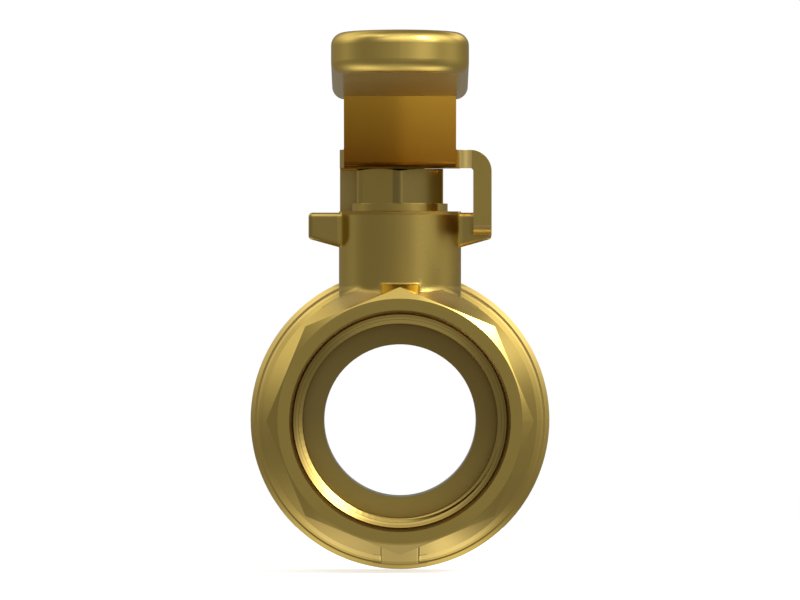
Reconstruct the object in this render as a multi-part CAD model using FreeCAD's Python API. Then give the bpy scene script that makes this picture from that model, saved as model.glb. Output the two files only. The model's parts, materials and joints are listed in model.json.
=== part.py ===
import FreeCAD, Part
import math
import os

# Threaded ball valve, full bore, two-piece body, DN 25 ports with a one inch
# pipe thread. Millimetres, +Z up. The origin is the centre of the ball: the
# pipe axis is Y, the stem turns about Z, and the open lever points to -Y.

vector = FreeCAD.Vector
ORIGIN = vector(0, 0, 0)
X_AXIS = vector(1, 0, 0)
Y_AXIS = vector(0, 1, 0)
Z_AXIS = vector(0, 0, 1)

# Clearances between pieces
turning_clearance = 0.3      # between pieces that turn past each other
lever_lift = 0.1             # the lever's underside above the gland nut
stem_fit = 0.08              # radial running fit of the stem in its rings
seat_gap = 0.15              # between the ball and its two seats
slot_fit = 0.15              # each side of the stem's tang in the ball's slot
stop_gap = 0.1               # between a stop tab and its lug at either limit

# Ports, alike at both ends
end_length = 38.0            # stem axis to each end face
octagon_flats = 40.4         # across the spanner flats
octagon_chamfer_angle = 30.0
octagon_chamfer_inset = 0.2  # the chamfer also runs along the flats, this wide
port_radius = 12.5           # full bore
thread_root_radius = 16.62   # root of the one inch parallel pipe thread
thread_end_depth = 17.0      # end face to the shoulder behind the thread
mouth_radius = 18.1
mouth_inner_radius = 17.4
mouth_depth = 2.0
mouth_cone_angle = 60.0      # of the lead-in cone, from the pipe axis

# Forged body
cone_start_radius = 20.2
crease_radius = 22.5
crease_y = -7.5
cone_angle = 30.0            # of the shoulder cone, from the pipe axis
cone_overlap = 0.2           # the octagon's corners end this far inside the cone
rim_radius = 23.6
rim_start_y = 3.0            # the barrel steps up to its rim behind the neck's axis
rim_band_angle = 45.0
body_rear_y = 17.0
cavity_clearance = 0.6       # from the ball to the cavity wall
pad_width = 6.2
pad_height = 1.35            # pads stand this far off the shoulder cone
pad_rim_rise = 0.15          # and this far off the rim
pad_length = 5.0             # along the pipe, in front of the crease

# Neck, lugs and stuffing box
neck_radius = 10.05
neck_top_z = 34.35
lug_reach = 15.05
lug_width = 6.4
lug_top_step = 0.2
lug_tip_height = 4.3
lug_slope_angle = 15.6
lug_edge_radius = 0.65
packing_radius = 6.2
stem_web = 2.4               # wall between the thrust washer and the packing
neck_bore_chamfer = 0.4

# Ball, seats and body seal
ball_wall = 5.5              # the ball's radius is this much more than the port's
ball_bore_chamfer = 0.4
slot_depth = 4.0
slot_width = 6.0
seat_wall = 3.9              # the seat's radius is this much more than the port's
seat_height = 5.0
seat_back_web = 1.55         # seat behind the mouth of the ball's bore
seat_bore_gap = 0.2          # the seat's bore is this much wider than the port
joint_thread_radius = 20.4   # thread between body and end adapter
joint_thread_y = 9.2         # nose of the adapter's thread
seal_thickness = 1.2
seal_width = 1.5

# End adapter
flange_radius = 24.7
flange_thickness = 4.0
flange_chamfer = 0.7
relief_width = 1.8
relief_depth = 0.8

# Stem and its seals
stem_radius = 4.0
shoulder_radius = 6.0
shoulder_height = 1.6
shoulder_lift = 0.9          # underside of the blow-out-proof shoulder above the ball
thrust_washer_thickness = 0.8
tang_length = 10.0
tang_end_gap = 0.4
ring_section_radius = 0.75   # of the stem's O-ring
ring_squeeze = 0.07
packing_base_height = 0.6
packing_ring_height = 0.85
packing_vee_height = 0.9
packing_top_height = 0.55
packing_ring_count = 3
follower_height = 1.2
follower_chamfer = 0.3
flats_width = 6.0            # across the stem's two flats in the lever
stem_thread_root_radius = 3.4
stem_thread_length = 9.9     # above the lever
stem_end_chamfer = 0.5

# Gland nut
gland_flats = 14.2
gland_thread_radius = 7.0
gland_collar_radius = 7.85
gland_collar_height = 1.3
gland_hex_height = 5.7
gland_corner_radius = 0.9
gland_chamfer_angle = 18.0

# Lever, a bent strip
plate_thickness = 3.0
hub_half_width = 9.9
hub_back = 10.0
hub_corner_radius = 0.6
arm_half_width = 9.2
arm_shoulder_lead = 1.0      # the hub narrows this far before the slope starts
arm_shoulder_radius = 2.6
slope_start_y = -13.0
slope_angle = 45.0
slope_bare_rise = 11.7      # from the hub's underside to where the grip starts
arm_tilt = 2.7
bend_radius = 0.5            # inside every bend of the strip
tab_reach = 15.05
tab_bottom_z = 30.5
tab_corner_radius = 1.3
tab_web_radius = 2.4         # between the arm's side and the open tab
arm_end_gap = 3.2            # metal ends this far inside the grip

# Lever fastening
lock_washer_radius = 6.9
lock_washer_thickness = 1.8
lock_washer_split = 1.2
lever_nut_flats = 13.0
lever_nut_height = 6.5
nut_chamfer_angle = 30.0

# Grip, moulded over the arm
grip_front_y = -97.0
grip_heel = 12.5            # grip length behind the point where the arm enters it
grip_thickness = 6.85
grip_width = 22.25
grip_edge_radius = 2.1
grip_heel_corner = 2.6

# Worked out from the values above
ball_radius = port_radius + ball_wall
seat_outer_radius = port_radius + seat_wall
seat_back_y = math.sqrt(ball_radius ** 2 - port_radius ** 2) + seat_back_web
shoulder_z = ball_radius + shoulder_lift
cone_slope = math.tan(math.radians(cone_angle))
cone_length = (crease_radius - cone_start_radius) / cone_slope
rim_y = rim_start_y + (rim_radius - crease_radius) / math.tan(math.radians(rim_band_angle))
octagon_apothem = octagon_flats / 2
octagon_corner = octagon_apothem / math.cos(math.pi / 8)
octagon_lead = (crease_radius - octagon_corner) / cone_slope - cone_overlap
body_front_y = -end_length
cavity_radius = ball_radius + cavity_clearance
flange_rear_y = body_rear_y + flange_thickness
washer_z = shoulder_z + shoulder_height
ceiling_z = washer_z + thrust_washer_thickness
packing_z = ceiling_z + stem_web
packing_top_z = (
    packing_z + packing_base_height + packing_ring_count * packing_ring_height
    + packing_vee_height + packing_top_height
)
gland_bottom_z = packing_top_z + follower_height
gland_top_z = neck_top_z + gland_collar_height + gland_hex_height
lever_z = gland_top_z + lever_lift
lever_top_z = lever_z + plate_thickness
stem_top_z = lever_top_z + stem_thread_length
ring_z = ceiling_z + stem_web / 2
slope_turn = math.radians(slope_angle)
tilt_turn = math.radians(arm_tilt)
grip_cover = (grip_thickness - plate_thickness) / 2
grip_enter_y = slope_start_y - slope_bare_rise / math.tan(slope_turn)
grip_enter_z = lever_z + slope_bare_rise
grip_heel_y = grip_enter_y + grip_heel * math.cos(tilt_turn)
grip_heel_z = grip_enter_z - grip_heel * math.sin(tilt_turn)


def polygon_face(points):
    wire = Part.makePolygon(points + [points[0]])
    return Part.Face(wire)


def turn_about_pipe(outline):
    """Revolve (y, radius) pairs about the pipe axis."""
    points = [vector(radius, y, 0) for y, radius in outline]
    return polygon_face(points).revolve(ORIGIN, Y_AXIS, 360)


def turn_about_stem(outline):
    """Revolve (radius, z) pairs about the stem axis."""
    points = [vector(radius, 0, z) for radius, z in outline]
    return polygon_face(points).revolve(ORIGIN, Z_AXIS, 360)


def pipe_cylinder(radius, start_y, end_y):
    return Part.makeCylinder(radius, end_y - start_y, vector(0, start_y, 0), Y_AXIS)


def stem_cylinder(radius, start_z, end_z):
    return Part.makeCylinder(radius, end_z - start_z, vector(0, 0, start_z), Z_AXIS)


def block(low, high):
    size = [b - a for a, b in zip(low, high)]
    return Part.makeBox(size[0], size[1], size[2], vector(*low))


def regular_prism(sides, apothem, start, length, axis, first_corner):
    """A prism with flats round an axis, its first corner on the given vector."""
    corner = apothem / math.cos(math.pi / sides)
    points = []
    for index in range(sides):
        turn = FreeCAD.Rotation(axis, 360.0 * index / sides)
        points.append(start + turn.multVec(first_corner) * corner)
    return polygon_face(points).extrude(axis * length)


def rounded_face(corners, to_space):
    """A face from (u, v, radius) corners, each corner rounded by its radius."""
    count = len(corners)
    ends = []
    for index in range(count):
        u, v, radius = corners[index]
        before = vector(corners[index - 1][0] - u, corners[index - 1][1] - v, 0)
        after_corner = corners[(index + 1) % count]
        after = vector(after_corner[0] - u, after_corner[1] - v, 0)
        before.normalize()
        after.normalize()
        here = vector(u, v, 0)
        half = before.getAngle(after) / 2
        if radius <= 0 or abs(math.cos(half)) < 1e-6:
            ends.append((here, None, here))
            continue
        back = radius / math.tan(half)
        middle = before + after
        middle.normalize()
        centre = here + middle * (radius / math.sin(half))
        ends.append((here + before * back, centre - middle * radius, here + after * back))
    edges = []
    for index in range(count):
        start, middle, end = ends[index]
        if middle is not None:
            edges.append(Part.Arc(to_space(start), to_space(middle), to_space(end)).toShape())
        following = ends[(index + 1) % count][0]
        if end.distanceToPoint(following) > 1e-6:
            edges.append(Part.makeLine(to_space(end), to_space(following)))
    return Part.Face(Part.Wire(edges))


def strip_corners(path, thickness, inside_radii):
    """Corners of a bent strip's section. The path is its lower line."""
    lower = []
    upper = []
    for index, (u, v) in enumerate(path):
        here = vector(u, v, 0)
        sides = []
        if index > 0:
            sides.append(here - vector(path[index - 1][0], path[index - 1][1], 0))
        if index < len(path) - 1:
            sides.append(vector(path[index + 1][0], path[index + 1][1], 0) - here)
        normals = []
        for side in sides:
            side.normalize()
            normals.append(vector(-side.y, side.x, 0))
        total = normals[0] if len(normals) == 1 else normals[0] + normals[1]
        total.normalize()
        reach = thickness / total.dot(normals[0])
        lower_radius = 0
        upper_radius = 0
        if len(normals) == 2:
            bends_up = sides[0].cross(sides[1]).z > 0
            inside = inside_radii[index]
            lower_radius = inside + thickness if bends_up else inside
            upper_radius = inside if bends_up else inside + thickness
        lower.append((u, v, lower_radius))
        outer = here + total * reach
        upper.append((outer.x, outer.y, upper_radius))
    return lower + upper[::-1]


def chamfered_octagon(face_y, inner_y):
    """Spanner octagon between two planes, its corners chamfered at the face."""
    length = abs(face_y - inner_y)
    direction = 1 if inner_y > face_y else -1
    prism = regular_prism(
        8, octagon_apothem, vector(0, face_y, 0), length, Y_AXIS * direction, Z_AXIS
    )
    face_radius = octagon_apothem - octagon_chamfer_inset
    depth = (octagon_corner - face_radius) * math.tan(math.radians(octagon_chamfer_angle))
    turned = turn_about_pipe([
        (face_y, 0),
        (face_y, face_radius),
        (face_y + direction * 2 * depth, 2 * octagon_corner - face_radius),
        (inner_y, 2 * octagon_corner - face_radius),
        (inner_y, 0),
    ])
    return prism.common(turned)


def port_cut(face_y):
    """Mouth, lead-in cone, thread bore and port bore of one end."""
    inward = 1 if face_y < 0 else -1
    cone_depth = (mouth_inner_radius - thread_root_radius) / math.tan(math.radians(mouth_cone_angle))
    shoulder = face_y + inward * thread_end_depth
    return turn_about_pipe([
        (face_y - inward, 0),
        (face_y - inward, mouth_radius),
        (face_y, mouth_radius),
        (face_y + inward * mouth_depth, mouth_inner_radius),
        (face_y + inward * (mouth_depth + cone_depth), thread_root_radius),
        (shoulder, thread_root_radius),
        (shoulder, port_radius),
        (0, port_radius),
        (0, 0),
    ])


def cone_radius_at(y):
    return crease_radius + (y - crease_y) * cone_slope


def body_round():
    """Shoulder cone, barrel and rim of the body, about the pipe axis."""
    cone_start_y = crease_y - cone_length
    return turn_about_pipe([
        (cone_start_y, 0),
        (cone_start_y, cone_start_radius),
        (crease_y, crease_radius),
        (rim_start_y, crease_radius),
        (rim_y, rim_radius),
        (body_rear_y, rim_radius),
        (body_rear_y, 0),
    ])


def body_pads():
    """Raised pads above and below, from the cone back to the rim."""
    top_radius = rim_radius + pad_rim_rise
    pad_start_y = crease_y - pad_length
    level_y = crease_y + (top_radius - crease_radius - pad_height) / cone_slope
    ring = turn_about_pipe([
        (pad_start_y, 0),
        (pad_start_y, cone_radius_at(pad_start_y) + pad_height),
        (level_y, top_radius),
        (rim_y, top_radius),
        (rim_y, 0),
    ])
    low = (-pad_width / 2, pad_start_y, -top_radius)
    high = (pad_width / 2, rim_y, top_radius)
    return ring.common(block(low, high))


def body_lugs():
    """Stop lugs either side of the neck, in one bar that the neck runs through."""
    top = neck_top_z - lug_top_step
    tip_bottom = top - lug_tip_height
    root_x = neck_radius / 2
    root_bottom = tip_bottom - (lug_reach - root_x) * math.tan(math.radians(lug_slope_angle))
    points = [
        vector(-lug_reach, -lug_width / 2, top),
        vector(lug_reach, -lug_width / 2, top),
        vector(lug_reach, -lug_width / 2, tip_bottom),
        vector(root_x, -lug_width / 2, root_bottom),
        vector(-root_x, -lug_width / 2, root_bottom),
        vector(-lug_reach, -lug_width / 2, tip_bottom),
    ]
    bar = polygon_face(points).extrude(Y_AXIS * lug_width)
    edges = []
    for edge in bar.Edges:
        low = min(edge.Vertexes, key=lambda vertex: abs(vertex.X))
        if abs(low.X) > root_x + 0.1 or abs(edge.Vertexes[0].X - edge.Vertexes[-1].X) > lug_reach / 2:
            edges.append(edge)
    return bar.makeFillet(lug_edge_radius, edges)


def stem_cuts():
    """Shoulder recess, stem hole, packing chamber and gland thread in the neck."""
    return turn_about_stem([
        (0, 0),
        (shoulder_radius + turning_clearance, 0),
        (shoulder_radius + turning_clearance, ceiling_z),
        (stem_radius + stem_fit, ceiling_z),
        (stem_radius + stem_fit, packing_z),
        (packing_radius, packing_z),
        (packing_radius, gland_bottom_z),
        (gland_thread_radius, gland_bottom_z + gland_thread_radius - packing_radius),
        (gland_thread_radius, neck_top_z - neck_bore_chamfer),
        (gland_thread_radius + neck_bore_chamfer, neck_top_z),
        (gland_thread_radius + neck_bore_chamfer, neck_top_z + 1),
        (0, neck_top_z + 1),
    ])


def body_cavity():
    """Seat pocket, ball chamber and the joint thread, open to the rear."""
    sphere = Part.makeSphere(cavity_radius)
    pocket = pipe_cylinder(seat_outer_radius, -seat_back_y, 0)
    chamber = pipe_cylinder(cavity_radius, 0, body_rear_y)
    seal_step_y = joint_thread_y - seal_thickness
    joint = pipe_cylinder(joint_thread_radius, seal_step_y, body_rear_y + 1)
    return sphere.fuse([pocket, chamber, joint])


def make_body():
    octagon = chamfered_octagon(body_front_y, crease_y - octagon_lead)
    neck = stem_cylinder(neck_radius, 0, neck_top_z)
    outside = body_round().fuse([octagon, neck, body_lugs(), body_pads()]).removeSplitter()
    hollow = port_cut(body_front_y).fuse([body_cavity(), stem_cuts()])
    return outside.cut(hollow)


def make_end_adapter():
    """Screwed end: thread, flange against the body's rim, cone and octagon."""
    cone_end_y = flange_rear_y + cone_length
    turned = turn_about_pipe([
        (joint_thread_y, 0),
        (joint_thread_y, joint_thread_radius - flange_chamfer),
        (joint_thread_y + flange_chamfer, joint_thread_radius),
        (body_rear_y - relief_width, joint_thread_radius),
        (body_rear_y - relief_width, joint_thread_radius - relief_depth),
        (body_rear_y, joint_thread_radius - relief_depth),
        (body_rear_y, flange_radius - flange_chamfer),
        (body_rear_y + flange_chamfer, flange_radius),
        (flange_rear_y - flange_chamfer, flange_radius),
        (flange_rear_y, flange_radius - flange_chamfer),
        (flange_rear_y, crease_radius),
        (cone_end_y, cone_start_radius),
        (cone_end_y, 0),
    ])
    octagon = chamfered_octagon(end_length, flange_rear_y + octagon_lead)
    outside = turned.fuse(octagon).removeSplitter()
    pocket = pipe_cylinder(seat_outer_radius, joint_thread_y - 1, seat_back_y)
    return outside.cut(port_cut(end_length).fuse(pocket))


def make_seat(side):
    """Seat ring with a face turned to the ball. side is -1 in front, 1 behind."""
    face_y = seat_back_y - seat_height
    ring = turn_about_pipe([
        (side * seat_back_y, port_radius + seat_bore_gap),
        (side * seat_back_y, seat_outer_radius),
        (side * face_y, seat_outer_radius),
        (side * face_y, port_radius + seat_bore_gap),
    ])
    return ring.cut(Part.makeSphere(ball_radius + seat_gap))


def make_body_seal():
    inner = joint_thread_radius - seal_width
    return turn_about_pipe([
        (joint_thread_y - seal_thickness, inner),
        (joint_thread_y - seal_thickness, joint_thread_radius),
        (joint_thread_y, joint_thread_radius),
        (joint_thread_y, inner),
    ])


def make_ball():
    """Bored ball, chamfered at the bore, with the driving slot across its top."""
    half_bore = math.sqrt(ball_radius ** 2 - (port_radius + ball_bore_chamfer) ** 2)
    ball = Part.makeSphere(ball_radius)
    bore = turn_about_pipe([
        (-ball_radius - 1, 0),
        (-ball_radius - 1, port_radius + ball_bore_chamfer),
        (-half_bore, port_radius + ball_bore_chamfer),
        (-half_bore + ball_bore_chamfer, port_radius),
        (half_bore - ball_bore_chamfer, port_radius),
        (half_bore, port_radius + ball_bore_chamfer),
        (ball_radius + 1, port_radius + ball_bore_chamfer),
        (ball_radius + 1, 0),
    ])
    slot = block(
        (-ball_radius, -slot_width / 2, ball_radius - slot_depth),
        (ball_radius, slot_width / 2, ball_radius + 1),
    )
    return ball.cut(bore.fuse(slot))


def make_stem():
    """Tang, blow-out-proof shoulder, grooved shaft, two flats and thread."""
    groove_depth = 2 * ring_section_radius - ring_squeeze
    groove_radius = stem_radius + stem_fit - groove_depth
    groove_half = ring_section_radius + ring_squeeze
    shaft = turn_about_stem([
        (0, shoulder_z),
        (shoulder_radius, shoulder_z),
        (shoulder_radius, washer_z),
        (stem_radius, washer_z),
        (stem_radius, ring_z - groove_half),
        (groove_radius, ring_z - groove_half),
        (groove_radius, ring_z + groove_half),
        (stem_radius, ring_z + groove_half),
        (stem_radius, lever_top_z),
        (stem_thread_root_radius, lever_top_z),
        (stem_thread_root_radius, stem_top_z - stem_end_chamfer),
        (stem_thread_root_radius - stem_end_chamfer, stem_top_z),
        (0, stem_top_z),
    ])
    for low_x in (-flats_width / 2 - stem_radius, flats_width / 2):
        beside = block((low_x, -stem_radius, lever_z), (low_x + stem_radius, stem_radius, stem_top_z))
        shaft = shaft.cut(beside)
    tang_half = slot_width / 2 - slot_fit
    tang_bottom = ball_radius - slot_depth + tang_end_gap
    tang = block((-tang_length / 2, -tang_half, tang_bottom), (tang_length / 2, tang_half, shoulder_z))
    return shaft.fuse(tang.common(stem_cylinder(shoulder_radius, tang_bottom, shoulder_z)))


def stem_ring(inner, outer, start_z, end_z):
    return turn_about_stem([(inner, start_z), (outer, start_z), (outer, end_z), (inner, end_z)])


def make_thrust_washer():
    return stem_ring(stem_radius + stem_fit, shoulder_radius, washer_z, ceiling_z)


def make_stem_o_ring():
    """O-ring in the stem's groove, against the wall of the stem hole."""
    centre_radius = stem_radius + stem_fit - ring_section_radius
    return Part.makeTorus(centre_radius, ring_section_radius - ring_squeeze, vector(0, 0, ring_z))


def packing_ring(start_z, vee_below, end_z, vee_above):
    """One ring of the packing set, its faces flat or raised to a vee."""
    inner = stem_radius + stem_fit
    middle = (inner + packing_radius) / 2
    outline = [(inner, start_z)]
    if vee_below:
        outline.append((middle, start_z + packing_vee_height))
    outline += [(packing_radius, start_z), (packing_radius, end_z)]
    if vee_above:
        outline.append((middle, end_z + packing_vee_height))
    outline.append((inner, end_z))
    return turn_about_stem(outline)


def make_packing():
    """Base ring, vee rings and top ring, nested, as a name to shape table."""
    level = packing_z + packing_base_height
    pieces = {"packing_base_ring": packing_ring(packing_z, False, level, True)}
    for number in range(1, packing_ring_count + 1):
        following = level + packing_ring_height
        pieces[f"packing_vee_ring_{number}"] = packing_ring(level, True, following, True)
        level = following
    pieces["packing_top_ring"] = packing_ring(level, True, packing_top_z, False)
    return pieces


def make_gland_follower():
    inner = stem_radius + turning_clearance
    return turn_about_stem([
        (inner, packing_top_z),
        (packing_radius, packing_top_z),
        (packing_radius, gland_bottom_z - follower_chamfer),
        (packing_radius - follower_chamfer, gland_bottom_z),
        (inner, gland_bottom_z),
    ])


def hex_nut(flats, start_z, height, corner_radius, chamfer_angle, chamfer_below):
    """Hexagon with a corner towards -Y, its corners turned off at the faces."""
    apothem = flats / 2
    corner = apothem / math.cos(math.pi / 6)
    prism = regular_prism(6, apothem, vector(0, 0, start_z), height, Z_AXIS, Y_AXIS)
    if corner_radius > 0:
        upright = [e for e in prism.Edges if abs(e.Vertexes[0].Z - e.Vertexes[-1].Z) > height / 2]
        prism = prism.makeFillet(corner_radius, upright)
    drop = (corner - apothem) * math.tan(math.radians(chamfer_angle))
    outline = [(0, start_z), (corner, start_z)]
    if chamfer_below:
        outline = [(0, start_z), (apothem, start_z), (corner, start_z + drop)]
    outline += [(corner, start_z + height - drop), (apothem, start_z + height), (0, start_z + height)]
    return prism.common(turn_about_stem(outline))


def make_gland_nut():
    """Screwed gland: thread in the neck, collar on its top, hexagon above."""
    collar_top = neck_top_z + gland_collar_height
    turned = turn_about_stem([
        (0, gland_bottom_z),
        (packing_radius, gland_bottom_z),
        (gland_thread_radius, gland_bottom_z + gland_thread_radius - packing_radius),
        (gland_thread_radius, neck_top_z),
        (gland_collar_radius, neck_top_z),
        (gland_collar_radius, collar_top),
        (0, collar_top),
    ])
    hexagon = hex_nut(
        gland_flats, collar_top, gland_hex_height, gland_corner_radius, gland_chamfer_angle, False
    )
    bore = stem_cylinder(stem_radius + turning_clearance, gland_bottom_z - 1, gland_top_z + 1)
    return turned.fuse(hexagon).cut(bore)


def arm_path():
    """Lower line of the lever in side view, as (y, z), from its end to the hub."""
    inside = grip_cover / math.sin(slope_turn - tilt_turn)
    arm_y = grip_enter_y - inside * math.cos(slope_turn)
    arm_z = grip_enter_z + inside * math.sin(slope_turn)
    end_y = grip_front_y + arm_end_gap
    return [
        (end_y, arm_z + (arm_y - end_y) * math.tan(tilt_turn)),
        (arm_y, arm_z),
        (slope_start_y, lever_z),
        (hub_back, lever_z),
    ]


def tab_strip():
    """Strip from the hub that bends down to the right-hand stop tab."""
    inner_x = tab_reach - plate_thickness
    corners = strip_corners(
        [(inner_x, tab_bottom_z), (inner_x, lever_z), (0, lever_z)][::-1],
        plate_thickness,
        {1: bend_radius},
    )
    face = rounded_face(corners, lambda p: vector(p.x, -hub_half_width, p.y))
    width = hub_half_width - lug_width / 2 - stop_gap
    strip = face.extrude(Y_AXIS * width)
    end_edges = []
    for edge in strip.Edges:
        on_end = all(abs(vertex.Z - tab_bottom_z) < 0.01 for vertex in edge.Vertexes)
        if on_end and abs(edge.Vertexes[0].Y - edge.Vertexes[-1].Y) < 0.01:
            if abs(edge.Vertexes[0].Y + hub_half_width) < 0.01:
                end_edges.append(edge)
    return strip.makeFillet(tab_corner_radius, end_edges)


def tab_web():
    """Rounded web in the corner between the arm and the open tab."""
    outer_x = arm_half_width + tab_web_radius
    front_y = -hub_half_width - tab_web_radius
    inner_x = arm_half_width - plate_thickness
    web = block((inner_x, front_y, lever_z), (outer_x, -hub_half_width, lever_top_z))
    centre = vector(outer_x, front_y, lever_z)
    return web.cut(Part.makeCylinder(tab_web_radius, plate_thickness, centre, Z_AXIS))


def make_lever():
    """Hub, sloping arm and two stop tabs, bent from one strip."""
    corners = strip_corners(arm_path(), plate_thickness, {1: bend_radius, 2: bend_radius})
    side = rounded_face(corners, lambda p: vector(-hub_half_width, p.x, p.y))
    strip = side.extrude(X_AXIS * (hub_half_width + tab_reach))
    front_y = grip_front_y + arm_end_gap
    shoulder = slope_start_y + arm_shoulder_lead
    plan = [
        (hub_half_width, hub_back, hub_corner_radius),
        (-hub_half_width, hub_back, hub_corner_radius),
        (-hub_half_width, shoulder + arm_shoulder_radius, arm_shoulder_radius),
        (-arm_half_width, shoulder, arm_shoulder_radius),
        (-arm_half_width, front_y, arm_half_width),
        (arm_half_width, front_y, arm_half_width),
        (arm_half_width, shoulder, arm_shoulder_radius),
        (hub_half_width, shoulder + arm_shoulder_radius, arm_shoulder_radius),
    ]
    outline = rounded_face(plan, lambda p: vector(p.x, p.y, 0))
    blank = strip.common(outline.extrude(Z_AXIS * strip.BoundBox.ZMax))
    open_tab = tab_strip()
    closed_tab = open_tab.mirror(ORIGIN, vector(1, -1, 0))
    web = strip.common(tab_web())
    lever = blank.fuse([open_tab, closed_tab, web]).removeSplitter()
    hole = stem_cylinder(stem_radius, lever_z - 1, lever_top_z + 1)
    flats = block(
        (-flats_width / 2, -stem_radius, lever_z - 1),
        (flats_width / 2, stem_radius, lever_top_z + 1),
    )
    return lever.cut(hole.common(flats))


def make_lock_washer():
    """Split spring washer on the lever, its cut at the back."""
    ring = stem_ring(stem_radius, lock_washer_radius, lever_top_z, lever_top_z + lock_washer_thickness)
    half = lock_washer_split / 2
    cut = block(
        (-half, 0, lever_top_z - 1),
        (half, lock_washer_radius + 1, lever_top_z + lock_washer_thickness + 1),
    )
    return ring.cut(cut)


def make_lever_nut():
    base = lever_top_z + lock_washer_thickness
    nut = hex_nut(lever_nut_flats, base, lever_nut_height, 0, nut_chamfer_angle, True)
    return nut.cut(stem_cylinder(stem_thread_root_radius, base - 1, base + lever_nut_height + 1))


def make_grip(lever):
    """Moulded grip with a round nose, closed round the end of the lever."""
    tilt = FreeCAD.Rotation(X_AXIS, -arm_tilt)
    length = (grip_heel_y - grip_front_y) / math.cos(tilt_turn)
    half_width = grip_width / 2
    plan = [
        (half_width, 0, grip_heel_corner),
        (-half_width, 0, grip_heel_corner),
        (-half_width, -length, half_width),
        (half_width, -length, half_width),
    ]
    slab = rounded_face(plan, lambda p: vector(p.x, p.y, 0)).extrude(Z_AXIS * grip_thickness)
    round_edges = [e for e in slab.Edges if abs(e.Vertexes[0].Z - e.Vertexes[-1].Z) < 0.01]
    slab = slab.makeFillet(grip_edge_radius, round_edges)
    slab.Placement = FreeCAD.Placement(vector(0, grip_heel_y, grip_heel_z), tilt)
    return slab.cut(lever)


def main():
    lever = make_lever()
    pieces = {
        "body": make_body(),
        "end_adapter": make_end_adapter(),
        "body_seal": make_body_seal(),
        "seat_front": make_seat(-1),
        "seat_rear": make_seat(1),
        "ball": make_ball(),
        "stem": make_stem(),
        "thrust_washer": make_thrust_washer(),
        "stem_o_ring": make_stem_o_ring(),
        "gland_follower": make_gland_follower(),
        "gland_nut": make_gland_nut(),
        "lever": lever,
        "lock_washer": make_lock_washer(),
        "lever_nut": make_lever_nut(),
        "grip": make_grip(lever),
    }
    pieces.update(make_packing())
    os.makedirs("parts", exist_ok=True)
    for name, shape in pieces.items():
        state = "valid" if shape.isValid() else "NOT VALID"
        print(name, state, len(shape.Solids), round(shape.Volume, 1))
        shape.exportStep(f"parts/{name}.step")


main()
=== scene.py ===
# %% [markdown]
# # A brass ball valve, dressed for a studio picture
#
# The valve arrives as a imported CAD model: every piece is already at its real
# size and place, in metres. This file adds what a machinist or a photographer
# would add: cut threads, the finish of forged, turned and pressed metal, a
# studio round it and a camera. The pipe runs along Y, the stem stands up
# along Z, and the open lever points at the camera.

# %% Load the frame
import json
import math

import bpy
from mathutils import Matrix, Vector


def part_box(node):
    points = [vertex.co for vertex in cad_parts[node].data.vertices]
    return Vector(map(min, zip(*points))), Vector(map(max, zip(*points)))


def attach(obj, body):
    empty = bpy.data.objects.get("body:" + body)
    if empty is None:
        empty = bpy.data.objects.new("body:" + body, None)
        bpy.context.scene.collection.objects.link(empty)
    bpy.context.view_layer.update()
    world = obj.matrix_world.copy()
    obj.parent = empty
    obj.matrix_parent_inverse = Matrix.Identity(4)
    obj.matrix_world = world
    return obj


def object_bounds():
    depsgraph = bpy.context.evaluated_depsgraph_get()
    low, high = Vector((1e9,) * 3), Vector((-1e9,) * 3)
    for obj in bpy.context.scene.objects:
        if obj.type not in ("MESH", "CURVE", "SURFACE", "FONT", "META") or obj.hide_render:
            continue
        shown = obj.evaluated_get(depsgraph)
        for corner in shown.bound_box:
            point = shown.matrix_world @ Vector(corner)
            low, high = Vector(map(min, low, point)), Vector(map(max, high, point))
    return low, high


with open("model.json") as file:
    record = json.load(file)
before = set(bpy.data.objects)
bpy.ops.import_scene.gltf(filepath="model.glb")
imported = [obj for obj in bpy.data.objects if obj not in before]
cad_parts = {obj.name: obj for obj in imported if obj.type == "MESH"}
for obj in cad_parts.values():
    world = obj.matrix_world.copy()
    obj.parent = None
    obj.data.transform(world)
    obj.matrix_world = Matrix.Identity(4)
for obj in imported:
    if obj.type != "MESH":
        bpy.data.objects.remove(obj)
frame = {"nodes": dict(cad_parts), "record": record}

MM = 0.001
cad_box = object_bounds()

# %% [markdown]
# ## Measures taken from the frame
#
# A thread has to sit exactly on the wall that was bored for it. The record
# states each port's wall radius and the length of that wall, so the thread is
# worked out from those, and it follows if the valve is ever made larger.

# %% Ports and stem, as the frame gives them
mounts = {mount["name"]: mount for mount in frame["record"]["mounts"]}
wall_radius = mounts["front_port"]["dims"]["r_mm"] * MM
wall_length = mounts["front_port"]["dims"]["length_mm"] * MM
body_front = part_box("body")[0].y
adapter_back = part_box("end_adapter")[1].y
nut_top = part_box("lever_nut")[1].z
stem_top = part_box("stem")[1].z
print("port wall radius", round(wall_radius / MM, 2), "mm, length", round(wall_length / MM, 2), "mm")

# %% [markdown]
# ## A thread is a ridge that climbs as it turns
#
# A real thread is cut by a tap, which leaves a ridge between its grooves.
# Here the ridge's section is drawn once, and its corners are carried round
# the axis while they climb one pitch per turn. A bump map would do from far
# off, but it stays flat on the silhouette, so the ridge is real geometry.
# Its flanks stand at the 55 degrees of a pipe thread, its crest is left flat
# by the bore, and it is closed behind the wall, so that it is a solid too.
# At both ends it grows from nothing over a third of a turn.

# %% The ridge's section and its sweep
STEPS_PER_TURN = 96
RUN_OUT_STEPS = STEPS_PER_TURN // 3
SUNK = 0.12 * MM
SMOOTH_UP_TO = 40.0
# share of the pitch, share of the ridge's height
RIDGE = [
    (0.0, 0.0), (0.11, 0.0), (0.135, 0.06), (0.30, 0.94), (0.325, 1.0),
    (0.675, 1.0), (0.70, 0.94), (0.865, 0.06), (0.89, 0.0), (1.0, 0.0),
]


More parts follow.
